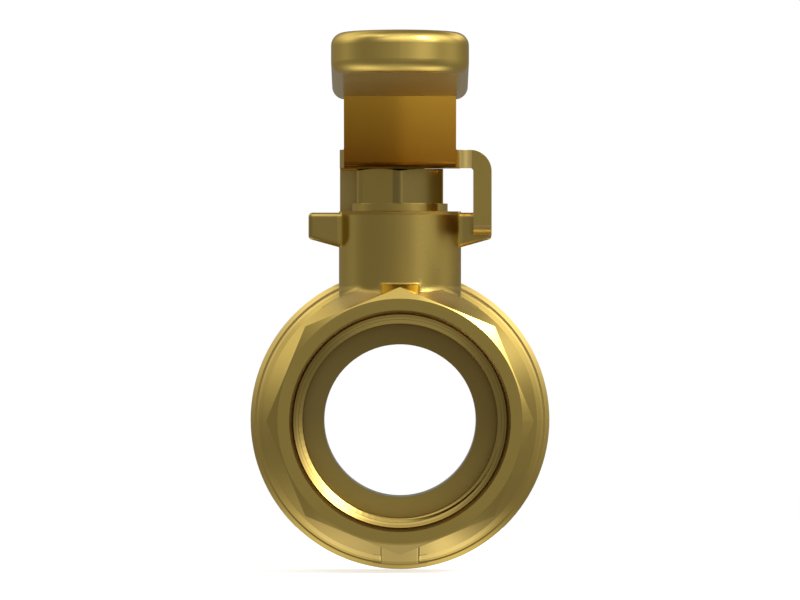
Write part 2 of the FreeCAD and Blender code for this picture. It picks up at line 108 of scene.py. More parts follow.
def thread_ridge(name, wall, depth, pitch, start, end, place, limit):
    """Sweep a ridge from start to end. A negative depth points at the axis."""
    turns = (end - start) / pitch - 1.0
    count = int(turns * STEPS_PER_TURN)
    back = wall - math.copysign(SUNK, depth)
    vertices = []
    faces = []
    for step in range(count + 1):
        angle = 2.0 * math.pi * step / STEPS_PER_TURN
        low = start + pitch * step / STEPS_PER_TURN
        run_out = min(1.0, min(step, count - step) / RUN_OUT_STEPS)
        section = [(back, low)]
        for share, height in RIDGE:
            section.append((wall + depth * run_out * height, low + pitch * share))
        section.append((back, low + pitch))
        for radius, along in section:
            vertices.append(place(limit(radius, along, angle), along, angle))
    width = len(RIDGE) + 2
    for step in range(count):
        for number in range(width):
            first = step * width + number
            second = step * width + (number + 1) % width
            faces.append((first, second, second + width, first + width))
    faces.append(tuple(range(width))[::-1])
    faces.append(tuple(count * width + number for number in range(width)))
    mesh = bpy.data.meshes.new(name)
    mesh.from_pydata(vertices, [], faces)
    mesh.update()
    piece = bpy.data.objects.new(name, mesh)
    bpy.context.scene.collection.objects.link(piece)
    return piece


def smooth_outward(piece):
    """Shade a piece smooth, with every face turned outwards."""
    bpy.context.view_layer.objects.active = piece
    bpy.ops.object.select_all(action="DESELECT")
    piece.select_set(True)
    bpy.ops.object.mode_set(mode="EDIT")
    bpy.ops.mesh.select_all(action="SELECT")
    bpy.ops.mesh.normals_make_consistent(inside=False)
    bpy.ops.object.mode_set(mode="OBJECT")
    bpy.ops.object.shade_auto_smooth(angle=math.radians(SMOOTH_UP_TO))


# %% [markdown]
# ## Pipe threads in both ports
#
# A one inch parallel pipe thread has eleven turns to the inch. The tap enters
# through a lead-in cone, and the cone cuts the first turns down, so each
# corner of the ridge is held outside that cone. The ridge is cut to half of
# its real height, so that a look down the pipe still shows the shoulder
# behind it.

# %% Cut the port threads
PIPE_PITCH = 25.4 * MM / 11.0
PIPE_DEPTH = 0.72 * MM
CONE_SLOPE = math.tan(math.radians(60.0))
THREAD_RELIEF = 0.9 * MM
SHOULDER_DEPTH = 17.0 * MM


def port_thread(name, mouth_y, inward):
    """A right-hand thread along the pipe, from a mouth inwards."""
    def place(radius, along, angle):
        y = mouth_y + inward * along
        return (radius * math.cos(angle), y, -inward * radius * math.sin(angle))

    def limit(radius, along, angle):
        return max(radius, wall_radius - along * CONE_SLOPE)

    end = wall_length - THREAD_RELIEF
    piece = thread_ridge(name, wall_radius, -PIPE_DEPTH, PIPE_PITCH, 0.0, end, place, limit)
    smooth_outward(piece)
    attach(piece, "valve_body")
    return piece


cone_length = SHOULDER_DEPTH - wall_length
front_thread = port_thread("front_port_thread", body_front + cone_length, 1.0)
rear_thread = port_thread("rear_port_thread", adapter_back - cone_length, -1.0)
print("port threads:", len(front_thread.data.polygons), "faces each")

# %% [markdown]
# ## The stem's own thread
#
# The lever nut runs on an M8 thread. Two flats are milled down the stem for
# the lever, and they cut the thread away on two sides, so the ridge is held
# inside the flats, and under the chamfer at the tip.

# %% Cut the stem thread
STEM_PITCH = 1.25 * MM
STEM_ROOT = 3.4 * MM
STEM_THREAD_DEPTH = 0.58 * MM
STEM_FLAT = 3.0 * MM - 0.02 * MM
TIP_SLOPE = 0.8
TURNS_IN_NUT = 2.0
NEARLY_ZERO = 1e-6


def stem_place(radius, along, angle):
    """Round the stem, with along as the height."""
    return (radius * math.cos(angle), radius * math.sin(angle), along)


def inside_flats(radius, along, angle):
    """Keep the ridge between the flats and under the chamfered tip."""
    across = abs(math.cos(angle))
    tip = STEM_ROOT + (stem_top - along) * TIP_SLOPE
    flat = STEM_FLAT / across if across > NEARLY_ZERO else radius
    return min(radius, flat, max(tip, STEM_ROOT - SUNK))


stem_thread = thread_ridge(
    "stem_thread", STEM_ROOT, STEM_THREAD_DEPTH, STEM_PITCH,
    nut_top - TURNS_IN_NUT * STEM_PITCH, stem_top, stem_place, inside_flats,
)
smooth_outward(stem_thread)
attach(stem_thread, "handle")
print("stem thread:", len(stem_thread.data.polygons), "faces")

# %% [markdown]
# ## Shader maths that reads like maths
#
# A material is a graph of nodes. Joined by hand it turns into a page of
# links, so one small class wraps a socket and lets Python's own signs add the
# Math nodes. Every other node comes from one method, which sets the node's
# settings first and then its inputs.

# %% The socket class and the graph
class Signal:
    """One output of a node, which can be added, multiplied and compared."""

    def __init__(self, graph, socket):
        self.graph = graph
        self.socket = socket

    def maths(self, operation, first, second):
        return self.graph.node("ShaderNodeMath", {"operation": operation}, {0: first, 1: second})

    def __add__(self, other):
        return self.maths("ADD", self, other)

    def __radd__(self, other):
        return self.maths("ADD", other, self)

    def __sub__(self, other):
        return self.maths("SUBTRACT", self, other)

    def __rsub__(self, other):
        return self.maths("SUBTRACT", other, self)

    def __mul__(self, other):
        return self.maths("MULTIPLY", self, other)

    def __rmul__(self, other):
        return self.maths("MULTIPLY", other, self)

    def __truediv__(self, other):
        return self.maths("DIVIDE", self, other)

    def __pow__(self, other):
        return self.maths("POWER", self, other)

    def __gt__(self, other):
        return self.maths("GREATER_THAN", self, other)

    def __lt__(self, other):
        return self.maths("LESS_THAN", self, other)

    def at_least(self, other):
        return self.maths("MAXIMUM", self, other)

    def at_most(self, other):
        return self.maths("MINIMUM", self, other)


class Graph:
    """A node tree being filled, with one method that adds any node."""

    def __init__(self, tree):
        self.tree = tree
        self.tree.nodes.clear()

    def node(self, kind, settings=None, inputs=None, output=0):
        node = self.tree.nodes.new(kind)
        for name, value in (settings or {}).items():
            setattr(node, name, value)
        for key, value in (inputs or {}).items():
            socket = node.inputs[key]
            if isinstance(value, Signal):
                self.tree.links.new(value.socket, socket)
            else:
                socket.default_value = value
        return Signal(self, node.outputs[output]) if node.outputs else node

    def mix_vector(self, share, first, second):
        """Blend two vectors. In the Mix node they are inputs 4 and 5."""
        return self.node("ShaderNodeMix", {"data_type": "VECTOR"}, {0: share, 4: first, 5: second}, 1)

    def mix_colour(self, share, first, second):
        """Blend two colours. In the Mix node they are inputs 6 and 7."""
        settings = {"data_type": "RGBA", "clamp_factor": True}
        return self.node("ShaderNodeMix", settings, {0: share, 6: first, 7: second}, 2)

    def dot(self, first, second):
        """How far one vector points along another."""
        settings = {"operation": "DOT_PRODUCT"}
        return self.node("ShaderNodeVectorMath", settings, {0: first, 1: second}, "Value")

    def split(self, vector):
        """The three parts of a vector."""
        node = self.node("ShaderNodeSeparateXYZ", None, {0: vector}).socket.node
        return [Signal(self, part) for part in node.outputs]


def start_finish(name):
    """An empty material, and the graph that fills it."""
    material = bpy.data.materials.new(name)
    material.use_nodes = True
    return material, Graph(material.node_tree)


def grain(graph, place, per_mm, detail=3.0, roughness=0.5):
    """Noise of a given fineness, in cells to the millimetre."""
    inputs = {"Vector": place, "Scale": per_mm / MM, "Detail": detail, "Roughness": roughness}
    return graph.node("ShaderNodeTexNoise", {"noise_dimensions": "3D"}, inputs)


print("shader helpers ready")

# %% [markdown]
# ## Brass, as it leaves the workshop
#
# Brass is a metal, so nearly all its colour comes from what it reflects. The
# base colour is only the tint of that reflection. It is never even all over,
# so the metal has two tints that drift into each other at random. A few more
# tints are painted light and shade: painted shade in recesses, under parts and
# over some highlights, and painted highlights and reflections elsewhere. At a
# grazing angle brass reflects paler, which is one colour on the shader's own socket.

# %% Tints and gloss
PALE_GOLD = (0.65, 0.467, 0.120, 1.0)
DEEP_GOLD = (0.62, 0.442, 0.112, 1.0)
# painted shade, for recesses and dimmed highlights
PAINTED_SHADE_BRASS = (0.40, 0.295, 0.09, 1.0)
# painted shade, under the lever
PAINTED_SHADE_SKIN = (0.43, 0.33, 0.145, 1.0)
# dark painted shade, in the lever's bends
CREASE_SHADE_SKIN = (0.20, 0.10, 0.02, 1.0)
# darkest painted shade, for deep recesses and dimmed highlights
DARK_PAINTED_SHADE = (0.30, 0.19, 0.05, 1.0)
# painted highlight
PAINTED_HIGHLIGHT_GOLD = (0.95, 0.70, 0.24, 1.0)
# greyer tint painted over a reflection
PAINTED_GREY_REFLECTION = (0.58, 0.50, 0.30, 1.0)
# paler tint painted over a reflection
PAINTED_PALE_REFLECTION = (0.70, 0.60, 0.34, 1.0)
GRAZING_GOLD = (1.0, 0.90, 0.68, 1.0)
GLOSS = 0.21
print("gold between", DEEP_GOLD[:3], "and", PALE_GOLD[:3])

# %% [markdown]
# ## Where a point is on the valve
#
# Wear follows use, and so do the places where light and shade are painted, so
# a finish has to know where on the valve it is. The Texture Coordinate node
# gives the place in the valve's own frame, which turns with the lever and
# doesn't slide with the view. One small class holds the distances that are
# asked for most, and two helpers turn them into masks from 0 to 1. One has
# sharp edges, which suit a place that ends at an edge of the piece or where
# little light falls. The other fades, and suits a place that ends in plain view
# in the middle of a face.

# %% The shaded point
PIPE_AXIS = 1
STEM_AXIS = 2
DOWNWARDS = -0.2


def size_of(part):
    """The distance from zero, whichever way."""
    return (part * part) ** 0.5


class Spot:
    """A shaded point, in the valve's own frame."""

    def __init__(self, graph):
        self.place = graph.node("ShaderNodeTexCoord", None, None, "Object")
        self.facing = graph.split(graph.node("ShaderNodeTexCoord", None, None, "Normal"))
        self.x, self.y, self.z = graph.split(self.place)
        self.aside = size_of(self.x)
        self.off_pipe = (self.x * self.x + self.z * self.z) ** 0.5
        self.off_stem = (self.x * self.x + self.y * self.y) ** 0.5
        self.faces_down = self.facing[STEM_AXIS] < DOWNWARDS


def between(value, low, high):
    """1 from low to high, and 0 outside."""
    return (value > low) * (value < high)


def fade(value, start, end):
    """0 up to start, 1 from end on, and an even slope between them."""
    return ((value - start) / (end - start)).at_least(0.0).at_most(1.0)


def everywhere(spot):
    """The whole piece."""
    return 1.0


print("pipe along axis", PIPE_AXIS, "and stem along axis", STEM_AXIS)

# %% [markdown]
# ## Inside the ports
#
# The steep cone at each mouth, the thread and the shoulder behind it lie deep
# in the port, and painted shade darkens them: the thread most at its root, and
# the shoulder more towards the top and the right. The cone and the thread's
# first turn lie past the same depth on both sides, so one measure parts them
# from the rest.

# %% Masks for the ports
MOUTH_START = 35.4 * MM
CONE_INNER = 16.95 * MM
CONE_OUTER = 18.08 * MM
FIRST_TURN_OUTER = 17.3 * MM
PORT_OUTER = 17.5 * MM
THREAD_ROOT = 16.6 * MM
THREAD_TIP = 15.9 * MM
SHADE_ON_THREAD = 0.45
MORE_AT_ROOT = 0.45
SHADE_ON_FIRST_TURN = 0.5


def mouth_cone_shade(spot):
    """The steep cones inside both mouths, darkened with painted shade."""
    return between(spot.off_pipe, CONE_INNER, CONE_OUTER) * (size_of(spot.y) > MOUTH_START)


def thread_shade(spot):
    """Painted shade on the thread: most at its root, and half on the first turn."""
    thread = between(spot.off_pipe, THREAD_TIP, PORT_OUTER) * (size_of(spot.y) < MOUTH_START)
    first_turn = (spot.off_pipe < FIRST_TURN_OUTER) * (size_of(spot.y) > MOUTH_START)
    shade_share = SHADE_ON_THREAD + MORE_AT_ROOT * (spot.off_pipe > THREAD_ROOT)
    return (thread * shade_share).at_least(SHADE_ON_FIRST_TURN * first_turn)


def port_shoulder(spot):
    """The flat ring behind the thread, round the bore."""
    return (spot.off_pipe < THREAD_TIP) * (size_of(spot.y) < MOUTH_START)


def shoulder_shade_at_top(spot):
    """Painted shade on the shoulder, darker towards the top."""
    return port_shoulder(spot) * fade(spot.z, -13.3 * MM, 0.7 * MM)


def shoulder_shade_at_right(spot):
    """More painted shade on the shoulder, darker towards the top right."""
    return port_shoulder(spot) * fade(spot.x + spot.z, -18.0 * MM, 42.0 * MM)


print("port masks between", THREAD_TIP / MM, "and", CONE_OUTER / MM, "mm off the pipe's axis")

# %% [markdown]
# ## Outside the forging
#
# Forged edges are rounder than machined ones, so a mask says which are which:
# the neck, its lugs and the two pads were never touched by a tool. The lugs are
# a little darker than the neck, and the tabs pass the neck's right flank and
# leave it matt. The other masks paint light and shade. A painted highlight lies
# on the flange, brightest at the top, and on the body's underside. Painted
# shade and more roughness dim a highlight on the neck's rim, and a paler tint
# with more roughness is painted over the reflection on the flats beside the
# neck.

# %% Masks for the outside
NECK_FOOT = 18.5 * MM
NECK_ROOT_TOP = 24.0 * MM
NECK_WALL = 10.2 * MM
BESIDE_NECK = 10.35 * MM
LUG_ROOT = 10.3 * MM
LUG_FOOT = 27.0 * MM
LUG_REACH = 16.5 * MM
RIM_SIDE = 9.6 * MM
RIM_FOOT = 33.8 * MM
UNDER_RIM = 33.0 * MM
NECK_FRONT = -13.0 * MM
PAD_FOOT = 18.0 * MM
PAD_SIDE = 4.5 * MM
PAD_FRONT = -14.0 * MM
TOP_PAD_SIDE = 3.2 * MM
OCTAGON_FLAT = 20.25 * MM
FLANGE_START = 23.25 * MM
FLANGE_TOP = 22.0 * MM


def forged_edges(spot):
    """The neck's root, the lugs and the two pads: forged, not machined."""
    below_rim = (spot.z < UNDER_RIM).at_least(spot.aside > RIM_SIDE)
    neck = (spot.z > NECK_FOOT) * (spot.off_stem < LUG_REACH) * (spot.y > NECK_FRONT) * below_rim
    pads = (size_of(spot.z) > PAD_FOOT) * (spot.aside < PAD_SIDE) * (spot.y > PAD_FRONT)
    return neck.at_least(pads)


def neck_root(spot):
    """The fillet where the neck grows out of the front octagon."""
    height = between(spot.z, NECK_FOOT, NECK_ROOT_TOP)
    return height * between(spot.y, NECK_FRONT, 0.0) * (spot.aside > TOP_PAD_SIDE)


def darker_lugs(spot):
    """The two stop lugs, a little darker than the neck."""
    return (spot.aside > LUG_ROOT) * (spot.z > LUG_FOOT)


def neck_rim(spot):
    """The neck's top edge, where painted shade and more roughness dim a highlight."""
    return (spot.z > RIM_FOOT) * (spot.aside < RIM_SIDE)


def neck_flank(spot):
    """The neck beside the right lug, where the tabs pass."""
    flank = fade(spot.x, 2.0 * MM, 6.0 * MM) * fade(spot.z, 22.0 * MM, 29.0 * MM)
    return (spot.off_stem < NECK_WALL) * (spot.y < 0.0) * flank


def pale_reflection_flats(spot):
    """The octagon's top flats just outside the neck, where a paler tint is painted over the reflection.
    """
    flats = (spot.off_stem > BESIDE_NECK) * (spot.y < -1.0 * MM) * (spot.aside > TOP_PAD_SIDE)
    near = fade(spot.y, -17.0 * MM, -13.0 * MM) * fade(spot.aside, 13.0 * MM, 8.0 * MM)
    return flats * near * fade(spot.z, 17.0 * MM, 20.0 * MM) * (spot.z < 25.0 * MM)


def flange_highlight(spot):
    """The flange's edge, with a painted highlight that is brightest at the top."""
    edge = (spot.off_pipe > FLANGE_START) * (spot.z < FLANGE_TOP)
    return edge * fade(spot.z, -18.0 * MM, 22.0 * MM)


def belly_highlight(spot):
    """The body's underside, with a painted highlight."""
    return between(spot.off_pipe, OCTAGON_FLAT, FLANGE_START) * fade(spot.z, -15.0 * MM, -20.0 * MM)


print("neck from", NECK_FOOT / MM, "to", RIM_FOOT / MM, "mm up, flange from", FLANGE_START / MM, "mm out")

# %% [markdown]
# ## Gland nut, lever and grip
#
# Painted shade darkens the gland nut's corners, which dims their highlights,
# and its right face. The lever is pressed from strip. Painted shade lies on the
# arm's underside and half as much on the closed tab at the back, darkest in the
# bend at the arm's foot and in the crease, and it dims the reflection on the
# ends of the two tabs, which are also made rougher. A painted highlight lies on
# the rounded web beside the arm, and under the grip a greyer tint is painted
# over the reflection, where the grip is also made rougher.

# %% Masks for nut, lever and grip
NUT_FOOT = 35.7 * MM
NUT_TOP = 42.0 * MM
CORNER_START = 7.7 * MM
CORNER_SHADE = 0.25
RIGHT_FACE_SHADE = 0.85
ARM_START = -12.5 * MM
CREASE_START = -11.3 * MM
CREASE_TOP = 41.9 * MM
BACK_TAB = 11.4 * MM
BACK_TAB_SHARE = 0.55
TAB_END = 32.0 * MM
GRIP_STRIP_SIDE = 9.3 * MM
GRIP_STRIP_TOP = 56.4 * MM


def nut_corner_shade(spot):
    """Painted shade on the gland nut's corners, dimming their highlights, and on its right face."""
    corners = CORNER_SHADE * (spot.off_stem > CORNER_START)
    right_face = RIGHT_FACE_SHADE * (spot.x > -1.2 * MM) * (spot.y < 0.0)
    return between(spot.z, NUT_FOOT, NUT_TOP) * corners.at_least(right_face)


def arm_underside_shade(spot):
    """Painted shade on the arm's underside, and half as much on the closed tab at the back."""
    underside = (spot.y < ARM_START) * spot.faces_down
    return underside.at_least(BACK_TAB_SHARE * (spot.y > BACK_TAB))


def bend_shade(spot):
    """Painted shade in the bend at the arm's foot and in its crease, fading up the arm and to its right.
    """
    foot = fade(spot.z, 53.5 * MM, 41.5 * MM)
    left = fade(spot.x, 9.0 * MM, -9.0 * MM)
    arm = (spot.y < ARM_START) * (0.10 + 0.15 * left + 0.80 * foot)
    crease = 0.9 * (spot.y < CREASE_START) * (spot.z < CREASE_TOP)
    return arm.at_least(crease) * spot.faces_down


def tab_ends(spot):
    """The ends of the two stop tabs, where painted shade and more roughness dim a reflection."""
    return spot.z < TAB_END


def web_highlight(spot):
    """The rounded web beside the arm, with a painted highlight."""
    return between(spot.x, 9.5 * MM, 11.8 * MM) * between(spot.y, -12.4 * MM, -9.8 * MM)


def under_grip(spot):
    """The strip of the grip's underside that lies along the lever's arm, where a greyer tint is painted
    over the reflection.
    """
    return (spot.aside < GRIP_STRIP_SIDE) * (spot.z < GRIP_STRIP_TOP) * spot.faces_down


print("gland nut from", NUT_FOOT / MM, "to", NUT_TOP / MM, "mm up")

# %% [markdown]
# ## One recipe for four metals
#
# Forged skin is blasted and has a very fine grain, turned faces keep rings
# from the tool, and pressed strip is almost plain. One recipe makes them all:
# the grain or the rings go into a Bump node, and the rings show only where
# the surface faces along the axis that it was turned on. Edges are never
# knife sharp either. The Bevel node rounds the normals over a fraction of a
# millimetre, outside and inside corners alike, which gives the bright lines
# along every edge. At the neck's root it takes the place of a fillet.

# %% The recipe
PATCHES_PER_MM = 0.09
GRAIN_PER_MM = 5.0
RINGS_PER_MM = 3.2
ALONG_AXIS = 0.96


def brightened(colour, brightness):
    """A colour times a brightness, with its alpha left at 1."""
    return tuple(part * brightness for part in colour[:3]) + (1.0,)


def metal_finish(name, axis, grain_height, ring_height, rounds, wear_and_painted_light, brightness=1.0):
    """Brass with grain, lathe rings about one axis, rounded edges, worn places and painted light and
    shade.
    """
    material, graph = start_finish(name)
    spot = Spot(graph)
    patches = grain(graph, spot.place, PATCHES_PER_MM, 2.0)
    fine = grain(graph, spot.place, GRAIN_PER_MM, 4.0, 0.6)
    tint = graph.mix_colour(patches, brightened(DEEP_GOLD, brightness), brightened(PALE_GOLD, brightness))
    gloss = GLOSS + (patches - 0.5) * 0.06 + (fine - 0.5) * 0.03
    for mask, colour, strength, dullness in wear_and_painted_light:
        place = mask(spot)
        tint = graph.mix_colour(place * strength, tint, colour)
        if dullness:
            gloss = gloss + place * dullness

    eased = graph.node("ShaderNodeNewGeometry", None, None, "Normal")
    for mask, radius in rounds:
        bevel = graph.node("ShaderNodeBevel", {"samples": 8}, {"Radius": radius})
        eased = graph.mix_vector(mask(spot), eased, bevel)

    radius = spot.off_pipe if axis == PIPE_AXIS else spot.off_stem
    rings = grain(graph, graph.node("ShaderNodeCombineXYZ", None, {0: radius}), RINGS_PER_MM, 2.0)
    turned = spot.facing[axis] * spot.facing[axis] > ALONG_AXIS
    bump = graph.node("ShaderNodeBump", None, {
        "Strength": 1.0,
        "Distance": MM,
        "Height": fine * grain_height * (1.0 - turned) + rings * ring_height * turned,
        "Normal": eased,
    })
    shader = graph.node("ShaderNodeBsdfPrincipled", None, {
        "Base Color": tint, "Metallic": 1.0, "Roughness": gloss, "Normal": bump,
        "Specular Tint": GRAZING_GOLD,
    })
    graph.node("ShaderNodeOutputMaterial", None, {0: shader})
    return material


print("grain", GRAIN_PER_MM, "and rings", RINGS_PER_MM, "to the millimetre")

# %% [markdown]
# ## The four metals
#
# Each line below names a place, the tint that it takes, how strongly, and how
# much roughness is added there. Most of these tints are painted light and
# shade. They are laid on in turn. The grip is a little brighter than the rest,
# as in the photograph.

# %% Make the metals
FORGED_GRAIN = 0.0004
TURNED_GRAIN = 0.0002
PRESSED_GRAIN = 0.0003
LATHE_RINGS = 0.0003
NO_RINGS = 0.0
FORGED_ROUND = 0.55 * MM
ROOT_ROUND = 1.5 * MM
SHARP_ROUND = 0.06 * MM
GRIP_BRIGHTNESS = 1.20
# mask, tint, strength, added roughness
FORGING_WEAR_AND_PAINTED_LIGHT = [
    (shoulder_shade_at_top, PAINTED_SHADE_BRASS, 1.0, 0.0),
    (thread_shade, PAINTED_SHADE_BRASS, 1.0, 0.0),
    (darker_lugs, PAINTED_SHADE_BRASS, 0.45, 0.0),
    (mouth_cone_shade, DARK_PAINTED_SHADE, 0.5, 0.0),
    (neck_rim, DARK_PAINTED_SHADE, 0.6, 0.48),
    (pale_reflection_flats, PAINTED_PALE_REFLECTION, 0.5, 0.25),
    (shoulder_shade_at_right, DARK_PAINTED_SHADE, 1.0, 0.0),
    (neck_flank, DEEP_GOLD, 1.0, 0.15),
    (flange_highlight, PAINTED_HIGHLIGHT_GOLD, 0.55, 0.0),
    (belly_highlight, PAINTED_HIGHLIGHT_GOLD, 0.6, 0.0),
]
NUT_PAINTED_SHADE = [(nut_corner_shade, PAINTED_SHADE_BRASS, 1.0, 0.0)]
LEVER_PAINTED_LIGHT_AND_SHADE = [
    (arm_underside_shade, PAINTED_SHADE_SKIN, 1.0, 0.0),
    (bend_shade, CREASE_SHADE_SKIN, 1.0, 0.0),
    (tab_ends, PAINTED_SHADE_SKIN, 0.8, 0.28),
    (web_highlight, PAINTED_HIGHLIGHT_GOLD, 1.0, 0.0),
]
GRIP_PAINTED_REFLECTION = [(under_grip, PAINTED_GREY_REFLECTION, 0.9, 0.153)]

forged_rounds = [(forged_edges, FORGED_ROUND), (neck_root, ROOT_ROUND)]
sharp_rounds = [(everywhere, SHARP_ROUND)]
forged_brass = metal_finish(
    "forged_brass", PIPE_AXIS, FORGED_GRAIN, LATHE_RINGS, forged_rounds, FORGING_WEAR_AND_PAINTED_LIGHT,
)
turned_brass = metal_finish(
    "turned_brass", STEM_AXIS, TURNED_GRAIN, LATHE_RINGS, sharp_rounds, NUT_PAINTED_SHADE,
)
pressed_strip = metal_finish(
    "pressed_strip", STEM_AXIS, PRESSED_GRAIN, NO_RINGS, sharp_rounds, LEVER_PAINTED_LIGHT_AND_SHADE,
)
grip_gold = metal_finish(
    "grip_gold", STEM_AXIS, PRESSED_GRAIN, NO_RINGS, sharp_rounds, GRIP_PAINTED_REFLECTION, GRIP_BRIGHTNESS,
)
print("metals:", [metal.name for metal in (forged_brass, turned_brass, pressed_strip, grip_gold)])

# %% [markdown]
# ## What hides inside
#
# The ball is plated and polished so that it slides under its seats. Seats and
# packing are white sealing plastic, waxy and a little translucent, and the
# stem's ring is black rubber. They show when one looks into a port, or
# through a cut model, so they are finished as well.

# %% Inner finishes
DULL_PLATING = (0.78, 0.74, 0.66, 1.0)
CLEAN_PLATING = (0.86, 0.83, 0.77, 1.0)
WAXY_WHITE = (0.80, 0.79, 0.76, 1.0)
CLEAN_WHITE = (0.90, 0.90, 0.88, 1.0)
RUBBER_BLACK = (0.012, 0.012, 0.012, 1.0)
RUBBER_GREY = (0.03, 0.03, 0.03, 1.0)
MOULDED_SKIN = 0.002


def plated_finish(name):
    """Bright plating with a thin haze."""
    material, graph = start_finish(name)
    haze = grain(graph, graph.node("ShaderNodeTexCoord", None, None, "Object"), 0.25)
    shader = graph.node("ShaderNodeBsdfPrincipled", None, {
        "Base Color": graph.mix_colour(haze, DULL_PLATING, CLEAN_PLATING),
        "Metallic": 1.0,
        "Roughness": 0.10 + haze * 0.08,
    })
    graph.node("ShaderNodeOutputMaterial", None, {0: shader})
    return material


def moulded_finish(name, dark, light, roughness):
    """Plastic or rubber: a quiet colour drift and a faint moulded skin."""
    material, graph = start_finish(name)
    place = graph.node("ShaderNodeTexCoord", None, None, "Object")
    drift = grain(graph, place, 0.4)
    height = grain(graph, place, 8.0) * MOULDED_SKIN
    bump = graph.node("ShaderNodeBump", None, {"Strength": 1.0, "Distance": MM, "Height": height})
    shader = graph.node("ShaderNodeBsdfPrincipled", None, {
        "Base Color": graph.mix_colour(drift, dark, light),
        "Roughness": roughness + (drift - 0.5) * 0.1,
        "Normal": bump,
    })
    graph.node("ShaderNodeOutputMaterial", None, {0: shader})
    return material


plated_ball = plated_finish("plated_ball")
seat_white = moulded_finish("seat_white", WAXY_WHITE, CLEAN_WHITE, 0.42)
ring_rubber = moulded_finish("ring_rubber", RUBBER_BLACK, RUBBER_GREY, 0.5)
print("inner finishes:", [inner.name for inner in (plated_ball, seat_white, ring_rubber)])

# %% [markdown]
# ## Give every piece its finish
#
# The record groups the nodes by material slot, so the finish is looked up
# there, and a node that is added later finds its finish by itself. The grip
# hangs over the front end and would stand as a dark bar in the reflection on
# the octagon's top corner, so it is left out of reflections.

# %% Assign the finishes
FINISH_OF_SLOT = {
    "forged_brass": forged_brass,
    "turned_brass": turned_brass,
    "plated_ball": plated_ball,
    "seat_plastic": seat_white,
    "seal_rubber": ring_rubber,
    "lever_metal": pressed_strip,
    "grip_shell": grip_gold,
}


def coat(piece, material):
    """Give a piece one material, in place of any it had."""
    piece.data.materials.clear()
    piece.data.materials.append(material)


for subpart in frame["record"]["subparts"]:
    coat(frame["nodes"][subpart["node"]], FINISH_OF_SLOT[subpart["material_slot"]])
for piece in (front_thread, rear_thread):
    coat(piece, forged_brass)
coat(stem_thread, turned_brass)
frame["nodes"]["grip"].visible_glossy = False

# %% [markdown]
# ## The studio
#
# Polished brass shows its surroundings, so the studio is built from
# directions: an even grey room, and a few soft lights whose brightness falls
# off with the angle from their middle. A higher sharpness makes a smaller
# light. The room is a little lighter straight below, as over a white table.
# The camera itself sees plain white behind the valve, as in a catalogue
# cut-out.

# %% Light from all round
ROOM = 0.285
TABLE_GLOW = 0.35
TABLE_START = -0.55
WHITE = (1.0, 1.0, 1.0, 1.0)
SOFT_LIGHTS = {
    # azimuth from the camera towards the right, elevation, sharpness, strength
    "key box": (47, 42, 75, 15.0),
    "bloom right of the key": (59, 26, 44, 2.0),
    "bloom above the key": (66, 52, 20, 1.00),
    "bloom below the key": (38, 25, 13, 0.95),
    "overhead, front": (4, 40, 16, 1.45),
    "overhead, top": (3, 68, 15, 0.85),
    "right wall": (94, 38, 14, 1.40),
    "right, level": (96, 2, 9, 0.20),
    "right rim": (131, 27, 54, 1.35),
    "back right rim": (153, 25, 67, 1.30),
    "left strip": (-55, 60, 80, 1.45),
    "left strip, back": (-93, 54, 40, 1.15),
    "left fill": (-26, 35, 22, 0.70),
    "left wall": (-104, 27, 18, 0.90),
    "back left": (-140, 36, 14, 0.90),
    "table, right": (111, -60, 32, 1.00),
    "table, back right": (149, -57, 95, 0.80),
    "table, left": (-108, -54, 12, 0.85),
    "table, front right": (75, -75, 40, 0.45),
    "window behind the camera": (8, -4, 14, 0.07),
    "window, right side": (40, 0, 40, 0.10),
}


def aim(azimuth, elevation):
    """The unit vector towards a light. Azimuth 0 is where the camera stands."""
    turn = math.radians(azimuth)
    rise = math.radians(elevation)
    level = math.cos(rise)
    return (level * math.sin(turn), -level * math.cos(turn), math.sin(rise))


def build_studio():
    """A world whose brightness depends on the direction alone."""
    world = bpy.data.worlds.new("studio")
    world.use_nodes = True
    graph = Graph(world.node_tree)
    direction = graph.node("ShaderNodeTexCoord", None, None, "Generated")
    height = graph.dot(direction, (0.0, 0.0, 1.0))
    # inputs 1 and 2 are the range that is read, 3 and 4 the range that it becomes
    radiance = graph.node(
        "ShaderNodeMapRange", {"interpolation_type": "SMOOTHSTEP"},
        {0: height, 1: TABLE_START, 2: -1.0, 3: ROOM, 4: ROOM + TABLE_GLOW},
    )
    for azimuth, elevation, sharpness, strength in SOFT_LIGHTS.values():
        lobe = graph.dot(direction, aim(azimuth, elevation)).at_least(0.0) ** sharpness
        radiance = lobe * strength + radiance
    room = graph.node("ShaderNodeBackground", None, {"Strength": radiance})
    paper = graph.node("ShaderNodeBackground", None, {"Color": WHITE, "Strength": 1.0})
    seen = graph.node("ShaderNodeLightPath", None, None, "Is Camera Ray")
    mixed = graph.node("ShaderNodeMixShader", None, {0: seen, 1: room, 2: paper})
    graph.node("ShaderNodeOutputWorld", None, {0: mixed})
    bpy.context.scene.world = world


build_studio()
print("soft lights:", len(SOFT_LIGHTS))

# %% [markdown]
# ## Flat sheets for the set
#
# The set needs two flat sheets, a card and a floor. Both are one face, so one
# helper makes them from their corners.

# %% A flat sheet
def flat_sheet(name, corners, material):
    """One face, which looks to the side from which its corners run anticlockwise."""
    mesh = bpy.data.meshes.new(name)
    mesh.from_pydata(corners, [], [(0, 1, 2, 3)])
    sheet = bpy.data.objects.new(name, mesh)
    bpy.context.scene.collection.objects.link(sheet)
    coat(sheet, material)
    return sheet


# %% [markdown]
# ## A card under the lever
#
# The lever hangs over the front end and would keep the overhead light off its
# topmost corner. A photographer tucks a white card under it, out of sight.
# This card lies just below the lever's strip and slopes with it. It glows
# downwards only, because its upper face is clear, and it shows in reflections
# alone. It stays where it is when the lever is turned.

